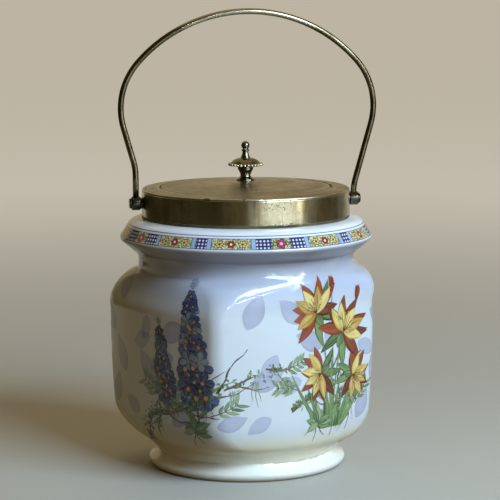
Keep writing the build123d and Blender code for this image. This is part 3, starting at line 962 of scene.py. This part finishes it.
@dataclass(frozen=True)
class Stroke:
    """One brush stroke on the unrolled wall, in millimetres: across to the viewer's right, and up."""

    form: Form
    across: float
    up: float
    length: float
    width: float
    heading: float
    bend: float = 0.0
    tone: float = 0.5
    layer: int = 0
    wobble: float = 0.0

    @property
    def grid(self) -> str:
        """Returns which of the grids is fine enough for the stroke."""
        if self.form in (Form.STEM, Form.TWIG, Form.BLADE):
            return "long"
        return "broad" if self.width > BROAD_STROKE_MM else "short"

    def point(self, t: float) -> tuple[float, float]:
        """Returns one place on the middle of the stroke.

        Args:
            t: how far along it is, from 0 at the root to 1 at the tip.

        Returns:
            The place, across and up.
        """
        steps = 40
        line = self.centreline(steps)
        step = min(steps - 1, int(t * steps))
        part = t * steps - step
        return tuple(line[step][k] * (1 - part) + line[step + 1][k] * part for k in (0, 1))

    def centreline(self, steps: int) -> list[tuple[float, float, float]]:
        """Returns points along the middle of the stroke.

        Args:
            steps: how many equal steps the stroke is cut into.

        Returns:
            Each point's place across, its height and its heading in radians.
        """
        points = []
        x, y = self.across, self.up
        for step in range(steps + 1):
            t = step / steps
            swing = self.wobble * math.sin(9.0 * t + 5.0 * self.tone)
            swing += 0.6 * self.wobble * math.sin(23.0 * t)
            heading = math.radians(self.heading + self.bend * t + swing)
            points.append((x, y, heading))
            x += self.length / steps * math.cos(heading)
            y += self.length / steps * math.sin(heading)
        return points


@dataclass
class Wall:
    """The jar's outer wall, which strokes are wrapped round."""

    jar: bpy.types.Object
    wall_radius_mm: float = 66.0
    far: float = 0.3

    def __post_init__(self) -> None:
        """Prepares the wall for fast ray casts."""
        self.tree = BVHTree.FromPolygons(
            [vertex.co for vertex in self.jar.data.vertices],
            [tuple(face.vertices) for face in self.jar.data.polygons],
        )

    def wrap(self, across_mm: float, up_mm: float, proud_mm: float) -> Vector:
        """Returns the place on the wall of a point of the unrolled print.

        Args:
            across_mm: the distance round the wall from X, at its mean radius.
            up_mm: the height.
            proud_mm: how far the point stands proud of the wall.

        Returns:
            The place.
        """
        turn = across_mm / self.wall_radius_mm
        outward = Vector((math.cos(turn), math.sin(turn), 0.0))
        height = Vector((0.0, 0.0, up_mm * MM))
        place, normal, _, _ = self.tree.ray_cast(outward * self.far + height, -outward)
        if place is None:
            return outward * self.wall_radius_mm * MM + height
        return place + normal * proud_mm * MM


@dataclass
class Transfer:
    """The printed decoration: strokes gathered by ink and laid on the wall as thin sheets.

    Each of the grids has its name, and how many faces it has along a stroke and across.
    """

    wall: Wall
    lift_mm: float = 0.07
    layer_mm: float = 0.025
    grids: tuple[tuple[str, int, int], ...] = (("long", 20, 2), ("broad", 18, 10), ("short", 9, 4))
    strokes: dict[str, list[Stroke]] = field(default_factory=dict)

    def lay(self, ink: str, stroke: Stroke) -> None:
        """Adds a stroke in that ink."""
        self.strokes.setdefault(ink, []).append(stroke)

    def _template(self, name: str, along: int, across: int) -> bpy.types.Object:
        """Makes a grid that each stroke is a copy of, one unit long and one wide.

        Args:
            name: the grid's name.
            along: how many faces it has along the stroke.
            across: how many faces it has across.

        Returns:
            The grid.
        """
        deselect()
        bpy.ops.mesh.primitive_grid_add(x_subdivisions=across, y_subdivisions=along, size=1.0)
        template = bpy.context.active_object
        template.name = name
        template.data.uv_layers[0].name = STROKE_MAP
        return template

    def _shape(self, stroke: Stroke, template: bpy.types.Object, along: int) -> bpy.types.Object:
        """Makes one stroke.

        Args:
            stroke: the stroke.
            template: the grid to copy.
            along: how many faces the grid has along the stroke.

        Returns:
            The copy, bent and wrapped as the stroke says.
        """
        mesh = template.data.copy()
        line = stroke.centreline(along)
        proud = self.lift_mm + self.layer_mm * stroke.layer
        for vertex in mesh.vertices:
            t = vertex.co.y + 0.5
            x, y, heading = line[round(t * along)]
            half = stroke.width / 2 * stroke.form.width(t, stroke.tone)
            aside = -2 * vertex.co.x * half
            across = x - aside * math.sin(heading)
            vertex.co = self.wall.wrap(across, y + aside * math.cos(heading), proud)
        tone = mesh.attributes.new(TONE, "FLOAT", "POINT")
        tone.data.foreach_set("value", [stroke.tone] * len(mesh.vertices))
        piece = bpy.data.objects.new("stroke", mesh)
        bpy.context.scene.collection.objects.link(piece)
        return piece

    def build(self, inks: dict[str, bpy.types.Material], body: str, slot: str) -> None:
        """Makes one piece for each ink.

        Args:
            inks: the material of each ink.
            body: the CAD body that the print rides on.
            slot: not used.
        """
        templates = {
            name: (self._template(f"{name}_stroke", along, across), along)
            for name, along, across in self.grids
        }
        for ink, strokes in self.strokes.items():
            pieces = [self._shape(stroke, *templates[stroke.grid]) for stroke in strokes]
            select(pieces)
            if len(pieces) > 1:
                bpy.ops.object.join()
            piece = bpy.context.view_layer.objects.active
            piece.name = f"print_{ink}"
            piece.data.name = piece.name
            merge_doubles(0.002)
            bpy.ops.object.shade_smooth()
            dress(piece, inks[ink])
            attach(piece, body)
            log.info("%s: %d strokes, %d faces", piece.name, len(strokes), len(piece.data.polygons))
        for template, _ in templates.values():
            bpy.data.objects.remove(template)


@dataclass
class Garden:
    """The motifs of the print: blue larkspur spikes, yellow and rust lilies, mossy twigs, pale leaves."""

    transfer: Transfer
    seed: int = 7
    ghost_rows: tuple[int, ...] = (90, 71, 52, 33)
    ghost_step: float = 25.7
    ghost_headings: tuple[int, ...] = (20, 55, 125, 160, 200, 240, 335)
    branch_turn: int = 91
    blue_turn: int = 48
    lily_turn: int = 128

    def __post_init__(self) -> None:
        """Starts the seeded chance that varies the strokes."""
        self.chance = random.Random(self.seed)

    def vary(self, value: float, share: float) -> float:
        """Returns the value changed by up to that share either way."""
        return value * (1 + share * self.chance.uniform(-1, 1))

    def stroke(self, ink: str, form: Form, *shape: float) -> None:
        """Lays a stroke in that ink; its shape is in the order of the other fields of Stroke."""
        self.transfer.lay(ink, Stroke(form, *shape))

    def floret(self, across: float, up: float, size: float, layer: int) -> None:
        """Lays a small five-petalled blue flower, most often with a yellow eye.

        Args:
            across: its place round the wall.
            up: its height.
            size: its width.
            layer: the layer of its petals, two below that of its eye.
        """
        turn = self.chance.uniform(0, 72)
        ink = "indigo" if self.chance.random() < 0.6 else "slate"
        tone = self.chance.uniform(0.2, 0.9)
        for petal in range(5):
            heading = turn + 72 * petal + self.chance.uniform(-9, 9)
            self.stroke(
                ink, Form.PETAL, across, up, self.vary(size * 0.62, 0.12), size * 0.43, heading,
                0, tone + self.chance.uniform(-0.2, 0.2), layer)
        if self.chance.random() < 0.72:
            eye = self.vary(size * 0.2, 0.3)
            self.stroke(
                "amber", Form.DOT, across - eye / 2, up, eye, eye, 0, 0, self.chance.random(), layer + 2)

    def larkspur(self, across: float, foot: float, height: float, lean: float, size: float) -> None:
        """Lays a tall spike of blue florets.

        Args:
            across: the place of the stem's foot round the wall.
            foot: the height of the stem's foot.
            height: the length of the spike.
            lean: degrees that it leans to the right.
            size: the width of its largest floret.
        """
        stem = Stroke(Form.STEM, across, foot, height, 1.1, 90 - lean, lean * 0.8, 0.6, 1)
        self.transfer.lay("leaf", stem)
        rows = 17
        for row in range(rows):
            share = row / (rows - 1)
            x, y = stem.point(0.24 + 0.76 * share)
            width = size * (1 - 0.8 * share)
            for side in (-1, 0, 1):
                if side == 0 and row % 2 or side and share > 0.93:
                    continue
                reach = side * width * self.vary(0.38, 0.5)
                height_of_floret = y + self.vary(1.0, 1.0)
                self.floret(x + reach, height_of_floret, self.vary(2.4 + width * 0.72, 0.12), 3 + row % 3)
        for blade in range(5):
            side = -1 if blade % 2 else 1
            x, y = stem.point(0.05 + 0.05 * blade)
            self.stroke(
                "leaf", Form.BLADE, x, y, self.vary(height * 0.26, 0.25), 2.6,
                90 + side * self.vary(48, 0.25), side * 30, self.chance.random(), 2)

    def lily(self, across: float, up: float, size: float, heading: float) -> None:
        """Lays an open flower with rust outer petals, yellow inner ones and amber stamens.

        Args:
            across: its place round the wall.
            up: its height.
            size: the length of its outer petals.
            heading: which way it opens, in degrees.
        """
        for petal in range(7):
            turn = heading - 105 + 35 * petal + self.chance.uniform(-6, 6)
            self.stroke(
                "rust", Form.LEAF, across, up, self.vary(size, 0.12), size * 0.36, turn,
                self.chance.uniform(-18, 18), self.chance.random(), 5)
        for petal in range(5):
            turn = heading - 76 + 38 * petal + self.chance.uniform(-6, 6)
            self.stroke(
                "yellow", Form.LEAF, across, up, self.vary(size * 0.86, 0.1), size * 0.34, turn,
                self.chance.uniform(-14, 14), self.chance.random(), 7)
        for stamen in range(6):
            turn = heading - 35 + 14 * stamen
            length = self.vary(size * 0.5, 0.2)
            self.stroke("rust", Form.STEM, across, up, length, 0.35, turn, 8, 0.9, 9)
            tip_x = across + length * math.cos(math.radians(turn + 4))
            tip_y = up + length * math.sin(math.radians(turn + 4))
            self.stroke("amber", Form.DOT, tip_x - 0.6, tip_y, 1.2, 0.9, 0, 0, 0.4, 10)
        self.stroke(
            "leaf", Form.LEAF, across, up, size * 0.5, size * 0.3, heading + 180, 10, 0.6, 4)

    def twig(self, across: float, up: float, length: float, width: float, heading: float,
             bend: float, forks: int) -> None:
        """Lays a brown twig with forks and moss along it.

        Args:
            across: the place of its foot round the wall.
            up: the height of its foot.
            length: its length.
            width: its greatest width.
            heading: which way it starts, in degrees.
            bend: how far it turns on its way, in degrees.
            forks: how many forks it has.
        """
        main = Stroke(Form.TWIG, across, up, length, width, heading, bend, self.chance.random(), 2, 9.0)
        self.transfer.lay("bark", main)
        line = main.centreline(20)
        for fork in range(forks):
            x, y, turn = line[5 + int(14 * fork / max(1, forks))]
            side = 1 if fork % 2 else -1
            out = math.degrees(turn) + side * self.vary(42, 0.3)
            self.stroke(
                "bark", Form.TWIG, x, y, self.vary(length * 0.34, 0.35), width * 0.42, out,
                side * -25, self.chance.random(), 2, 12.0)
        for _ in range(int(length / 5)):
            x, y, _ = line[self.chance.randrange(1, 15)]
            self.moss(x, y + width * 0.3, 3.2)

    def moss(self, across: float, up: float, spread: float) -> None:
        """Lays a tuft of short green strokes.

        Args:
            across: its place round the wall.
            up: its height.
            spread: how wide it is.
        """
        for _ in range(11):
            x = across + self.chance.gauss(0, spread * 0.55)
            y = up + self.chance.gauss(0, spread * 0.35)
            ink = "moss" if self.chance.random() < 0.6 else "leaf"
            self.stroke(
                ink, Form.LEAF, x, y, self.vary(2.0, 0.4), self.vary(0.9, 0.3),
                self.chance.uniform(0, 360), 20, self.chance.random(), 4)

    def sprig(self, across: float, up: float, size: float, heading: float) -> None:
        """Lays a fine stem with narrow paired leaves.

        Args:
            across: the place of its foot round the wall.
            up: the height of its foot.
            size: the length of its stem.
            heading: which way it starts, in degrees.
        """
        stem = Stroke(Form.STEM, across, up, size, 0.5, heading, 18, 0.7, 1)
        self.transfer.lay("bark", stem)
        line = stem.centreline(20)
        for pair in range(4):
            x, y, turn = line[6 + 4 * pair]
            for side in (-1, 1):
                self.stroke(
                    "moss", Form.LEAF, x, y, self.vary(size * 0.42, 0.2), size * 0.12,
                    math.degrees(turn) + side * 48, -side * 14, self.chance.random(), 3)

    def ghost(self, across: float, up: float, size: float, heading: float) -> None:
        """Lays a broad pale leaf behind the flowers."""
        self.stroke(
            "ghost", Form.LEAF, across, up, size, size * 0.55, heading, 12, self.chance.random(), 0)

    def stalk(self, ink: str, start: tuple[float, float], end: tuple[float, float],
              width: float, bend: float) -> None:
        """Lays a bowed stem between two points.

        Args:
            ink: its ink.
            start: its foot, a turn in degrees and a height.
            end: its tip, a turn in degrees and a height.
            width: its width.
            bend: how far it turns on its way, in degrees.
        """
        x0, x1 = self.at(start[0]), self.at(end[0])
        chord = math.hypot(x1 - x0, end[1] - start[1])
        heading = math.degrees(math.atan2(end[1] - start[1], x1 - x0))
        self.stroke(
            ink, Form.STEM, x0, start[1], chord * (1 + (bend / 230) ** 2), width,
            heading - bend / 2, bend, self.chance.random(), 2)

    def clump(self, turn: float, up: float, size: float) -> None:
        """Lays a low rosette of broad leaves with dark twiglets under it.

        Args:
            turn: its direction from the axis in degrees.
            up: its height.
            size: the length of its leaves.
        """
        for leaf in range(9):
            heading = -20 + 27 * leaf + self.chance.uniform(-9, 9)
            ink = "moss" if leaf % 3 else "leaf"
            self.stroke(
                ink, Form.LEAF, self.at(turn), up, self.vary(size, 0.25), size * 0.42, heading,
                self.chance.uniform(-30, 30), self.chance.random(), 4 + leaf % 3)
        for root in range(4):
            self.stroke(
                "bark", Form.TWIG, self.at(turn), up, self.vary(size * 0.9, 0.3), 0.8,
                200 + 45 * root, 30, self.chance.random(), 3, 14.0)

    def hanging(self, turn: float, up: float, length: float) -> None:
        """Lays thin strands of moss that hang from a branch.

        Args:
            turn: their direction from the axis in degrees.
            up: the height that they hang from.
            length: their length.
        """
        for strand in range(3):
            self.stroke(
                "moss", Form.BLADE, self.at(turn) + strand * 1.1, up, self.vary(length, 0.4), 0.7,
                270 + self.chance.uniform(-8, 8), 8, self.chance.random(), 3, 10.0)

    def blue_spray(self, middle: float) -> None:
        """Lays two larkspur spikes over a mossy branch.

        Args:
            middle: the direction of its middle from the axis, in degrees.
        """
        self.twig(self.at(middle - 24), 33, 74, 2.6, 16, 14, 7)
        self.twig(self.at(middle - 21), 36, 26, 1.5, 250, -20, 3)
        self.twig(self.at(middle - 13), 38, 17, 1.2, 238, 30, 2)
        self.larkspur(self.at(middle + 12), 30, 78, -8, 13.5)
        self.larkspur(self.at(middle - 6), 36, 50, -16, 10.0)
        self.sprig(self.at(middle - 12), 44, 19, 140)
        self.sprig(self.at(middle + 17), 40, 15, 18)
        for spot in range(12):
            turn = middle - 20 + 5.0 * spot
            self.moss(self.at(turn), 36 + 2.1 * spot + 2 * (spot % 2), 4.6)
            if spot % 2:
                self.hanging(turn, 35 + 2.1 * spot, 11)
        self.clump(middle + 9, 31, 9.0)

    def lily_spray(self, middle: float) -> None:
        """Lays four lilies and two buds over leaves and a forked branch.

        Args:
            middle: the direction of its middle from the axis, in degrees.
        """
        blooms = ((-10, 91, 18.5, 122), (8, 79, 19.5, 56), (-7, 58, 16.0, 204), (15, 54, 15.0, -18))
        self.twig(self.at(middle - 25), 40, 60, 2.4, 14, 24, 6)
        self.twig(self.at(middle + 6), 48, 26, 1.3, 262, -16, 2)
        self.twig(self.at(middle + 14), 52, 28, 1.3, 274, -22, 3)
        for turn, up, size, heading in blooms:
            self.stalk("leaf", (middle + 1, 28), (middle + turn, up), 1.2, -14 if turn > 0 else 14)
            for leaf in (-62, -150, 150):
                self.stroke(
                    "leaf", Form.LEAF, self.at(middle + turn), up, size * 1.05, size * 0.3,
                    heading + leaf + self.chance.uniform(-12, 12), 20,
                    self.chance.uniform(0.4, 1.0), 3)
        for turn, up in ((-1, 103), (17, 96)):
            self.stalk("leaf", (middle + 1, 60), (middle + turn, up), 0.8, 8)
            for part in (-9, 0, 9):
                self.stroke(
                    "rust", Form.LEAF, self.at(middle + turn), up - 1, 8.5, 2.6, 88 + part, 0,
                    self.chance.random(), 5)
        for blade in range(11):
            self.stroke(
                "leaf", Form.BLADE, self.at(middle - 6 + 1.3 * blade), 27.5,
                self.vary(33, 0.3), 3.4, 132 - 8.5 * blade,
                self.chance.uniform(-34, 34), self.chance.random(), 3)
        for turn, up, size, heading in blooms:
            self.lily(self.at(middle + turn), up, size, heading)
        self.sprig(self.at(middle - 20), 50, 16, 160)
        self.sprig(self.at(middle + 17), 38, 15, 40)
        self.clump(middle - 8, 31, 10.0)
        for spot in range(6):
            self.moss(self.at(middle - 20 + 4 * spot), 42 + 1.4 * spot, 3.4)

    def branch(self, middle: float) -> None:
        """Lays a small leafy branch in the space between two sprays.

        Args:
            middle: the direction of its middle from the axis, in degrees.
        """
        self.twig(self.at(middle - 2), 64, 17, 1.3, -14, 30, 3)
        self.sprig(self.at(middle + 6), 62, 15, 8)
        self.sprig(self.at(middle + 4), 61, 13, -52)

    def at(self, turn: float) -> float:
        """Returns the place across the unrolled wall of a turn in degrees."""
        return math.radians(turn) * self.transfer.wall.wall_radius_mm

    def plant(self) -> None:
        """Lays the whole garden, front and back."""
        for start in (0, 180):
            for row, height in enumerate(self.ghost_rows):
                for step in range(7):
                    turn = start + 3 + self.ghost_step * step + 12 * (row % 2)
                    turn += self.chance.uniform(-4, 4)
                    up, size = height + self.chance.uniform(-5, 4), self.vary(19.0, 0.2)
                    heading = self.chance.choice(self.ghost_headings) + self.chance.uniform(-12, 12)
                    self.ghost(self.at(turn), up, size, heading)
            self.branch(start + self.branch_turn)
            self.blue_spray(start + self.blue_turn)
            self.lily_spray(start + self.lily_turn)


@dataclass
class Jar:
    """The earthenware jar with its border and its print, and the cement in its mouth."""

    border_low: tuple[float, float] = (69.19, 127.85)
    border_high: tuple[float, float] = (65.4, 133.6)
    border_lift_mm: float = 0.06
    border_inset_mm: float = 0.15
    border_sides: int = 256
    smooth_angle: float = 38.0
    inks: tuple[Ink, ...] = (
        Ink("ghost_ink", (0.52, 0.55, 0.70), (0.44, 0.45, 0.58), 0.5, 0.25),
        Ink("indigo_ink", (0.12, 0.16, 0.36), (0.006, 0.008, 0.03), 0.85),
        Ink("slate_ink", (0.36, 0.45, 0.58), (0.04, 0.06, 0.13), 0.8),
        Ink("amber_ink", (0.86, 0.48, 0.06), (0.50, 0.17, 0.02)),
        Ink("yellow_ink", (0.86, 0.72, 0.27), (0.46, 0.22, 0.04)),
        Ink("rust_ink", (0.38, 0.085, 0.035), (0.10, 0.022, 0.012)),
        Ink("leaf_ink", (0.24, 0.35, 0.14), (0.025, 0.06, 0.02), 0.75),
        Ink("moss_ink", (0.36, 0.46, 0.24), (0.06, 0.12, 0.045), 0.75),
        Ink("bark_ink", (0.22, 0.12, 0.07), (0.035, 0.018, 0.012)),
    )

    def add_skin(self) -> bpy.types.Object:
        """Returns the smooth skin that stands for the jar's solid."""
        glaze = PotteryGlaze("glazed_earthenware").build()
        return skin_node("jar_body", "jar", glaze, self.smooth_angle)

    def add_border(self) -> None:
        """Adds the mosaic border round the flange's outer face."""
        low_r, low_z = self.border_low
        high_r, high_z = self.border_high
        run = math.hypot(low_r - high_r, high_z - low_z)
        out_r, out_z = (high_z - low_z) / run, (low_r - high_r) / run
        inset = self.border_inset_mm
        low = (low_r + out_r * self.border_lift_mm - inset * (low_r - high_r) / run,
               low_z + out_z * self.border_lift_mm + inset * (high_z - low_z) / run)
        high = (high_r + out_r * self.border_lift_mm + inset * (low_r - high_r) / run,
                high_z + out_z * self.border_lift_mm - inset * (high_z - low_z) / run)
        deselect()
        bpy.ops.mesh.primitive_cone_add(
            vertices=self.border_sides, radius1=low[0] * MM, radius2=high[0] * MM,
            depth=(high[1] - low[1]) * MM, end_fill_type="NOTHING",
            location=(0, 0, (low[1] + high[1]) / 2 * MM),
        )
        band = bpy.context.active_object
        band.name = "flange_border"
        bpy.ops.object.mode_set(mode="EDIT")
        bpy.ops.mesh.select_all(action="SELECT")
        bpy.ops.mesh.subdivide(number_cuts=1)
        bpy.ops.object.mode_set(mode="OBJECT")
        bpy.ops.object.transform_apply(location=True, rotation=True, scale=True)
        bpy.ops.object.shade_smooth()
        dress(band, MosaicBorder("mosaic_border", low[1], high[1]).build())
        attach(band, "jar")

    def build(self) -> None:
        """Builds the jar, its border, its print and its cement."""
        skin = self.add_skin()
        self.add_border()
        transfer = Transfer(Wall(skin))
        Garden(transfer).plant()
        inks = {ink.name.removesuffix("_ink"): ink.build() for ink in self.inks}
        transfer.build(inks, "jar", "glaze")
        cement = HiddenStuff("set_cement", (0.66, 0.60, 0.50), (0.42, 0.37, 0.29), 0.0, 0.85)
        dress_nodes(["rim_cement"], cement.build())


@dataclass
class Collar:
    """The sheet-metal mouth band and the pivots that stand out from it."""

    finish: WornPlate = WornPlate(
        "collar_plate", brushing=Brushing.UPRIGHT, gloss=0.15, pitting=1.0,
        # The rubbed top and bottom edges are rubbed metal, and partly painted highlight.
        rubbed_and_sheen_heights=((152.1, 0.45), (137.6, 0.3)), grimy_heights=((138.3, 0.8),),
        pocked=((2.6, -57.1, 150.2, 4.2), (9.2, -56.5, 149.8, 4.0), (13.8, -55.5, 150.6, 2.6)),
        chipped=((3.0, -57.1, 138.7, 7.0), (12.5, -55.9, 138.7, 7.0)),
    )
    boss_finish: WornPlate = WornPlate(
        "pivot_metal", (0.085, 0.072, 0.05), (0.022, 0.017, 0.010), gloss=0.18, pitting=0.5,
    )
    cast: tuple[str, ...] = ("pivot_boss_left", "pivot_boss_right", "pivot_pin_left", "pivot_pin_right")
    hidden: tuple[str, ...] = ("pivot_nut_left", "pivot_nut_right")
    band_angle: float = 30.0
    cast_angle: float = 35.0

    def build(self, brass: bpy.types.Material) -> None:
        """Dresses the band, the pivots and their hidden nuts.

        Args:
            brass: the finish of the nuts.
        """
        skin_node("collar_band", "jar", self.finish.build(), self.band_angle)
        boss = self.boss_finish.build()
        for node in self.cast:
            skin_node(node, "jar", boss, self.cast_angle)
        dress_nodes(self.hidden, brass)


@dataclass
class Lid:
    """The loose lid with its stepped ring, and the turned finial on it."""

    finish: WornPlate = WornPlate(
        "lid_metal_worn", (0.46, 0.42, 0.34), (0.25, 0.21, 0.13), Brushing.ROUND, 0.24, 0.5, 0.008,
        # The rubbed rim lines are partly painted highlight; the dents are painted highlight and painted
        # shade.
        rubbed_and_sheen_radii=((56.8, 0.5), (48.6, 0.25)), grimy_radii=((47.0, 0.5), (55.2, 0.2)),
        dents=((-29.4, -48.6, 152.7, 2.4), (-10.6, -55.8, 152.9, 1.3)),
    )
    finial_finish: WornPlate = WornPlate(
        "finial_metal_worn", (0.27, 0.25, 0.19), (0.07, 0.058, 0.035), gloss=0.15,
        # The bead row rubbed bright: rubbed metal, and partly painted highlight.
        pitting=0.6, rub_and_sheen=0.9, rubbed_and_sheen_radii=((9.5, 0.8),),
    )
    turned: tuple[str, ...] = ("finial_foot", "finial_pedestal", "finial_dish", "finial_knob")
    hidden: tuple[str, ...] = ("finial_stud", "finial_washer", "finial_nut")
    plate_angle: float = 24.0
    turned_angle: float = 35.0

    def build(self, brass: bpy.types.Material) -> None:
        """Dresses the lid, its hidden skirt, the finial and its screw.

        Args:
            brass: the finish of the screw, washer and nut.
        """
        plate = self.finish.build()
        skin_node("lid_plate", "lid", plate, self.plate_angle)
        dress_nodes(["lid_skirt"], plate)
        turned = self.finial_finish.build()
        for node in self.turned:
            skin_node(node, "lid", turned, self.turned_angle)
        dress_nodes(self.hidden, brass)


@dataclass
class Handle:
    """The bow of round rod and its two knuckles."""

    rod_finish: WornPlate = WornPlate(
        "rod_metal", (0.17, 0.143, 0.087), (0.072, 0.054, 0.027), gloss=0.16, relief_mm=0.002,
        # The crown rubbed bright: rubbed metal, and partly painted highlight.
        rub_and_sheen=0.39, rubbed_and_sheen_heights=((251.0, 11.0),),
    )
    knuckle_finish: WornPlate = WornPlate(
        "knuckle_metal", (0.10, 0.09, 0.065), (0.024, 0.019, 0.011), gloss=0.18, pitting=0.5,
    )
    knuckles: tuple[str, ...] = ("handle_knuckle_left", "handle_knuckle_right")
    bow_angle: float = 40.0
    knuckle_angle: float = 35.0

    def build(self) -> None:
        """Dresses the bow and the knuckles."""
        skin_node("handle_bow", "handle", self.rod_finish.build(), self.bow_angle)
        knuckle = self.knuckle_finish.build()
        for node in self.knuckles:
            skin_node(node, "handle", knuckle, self.knuckle_angle)


def main() -> None:
    """Builds every sub-assembly in order."""
    logging.basicConfig(level=logging.INFO, format="%(message)s")
    Studio().build()
    Jar().build()
    brass = HiddenStuff("screw_brass", (0.66, 0.52, 0.28), (0.36, 0.26, 0.12), 1.0, 0.38).build()
    Collar().build(brass)
    Lid().build(brass)
    Handle().build()
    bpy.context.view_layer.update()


if __name__ == "__main__":
    main()
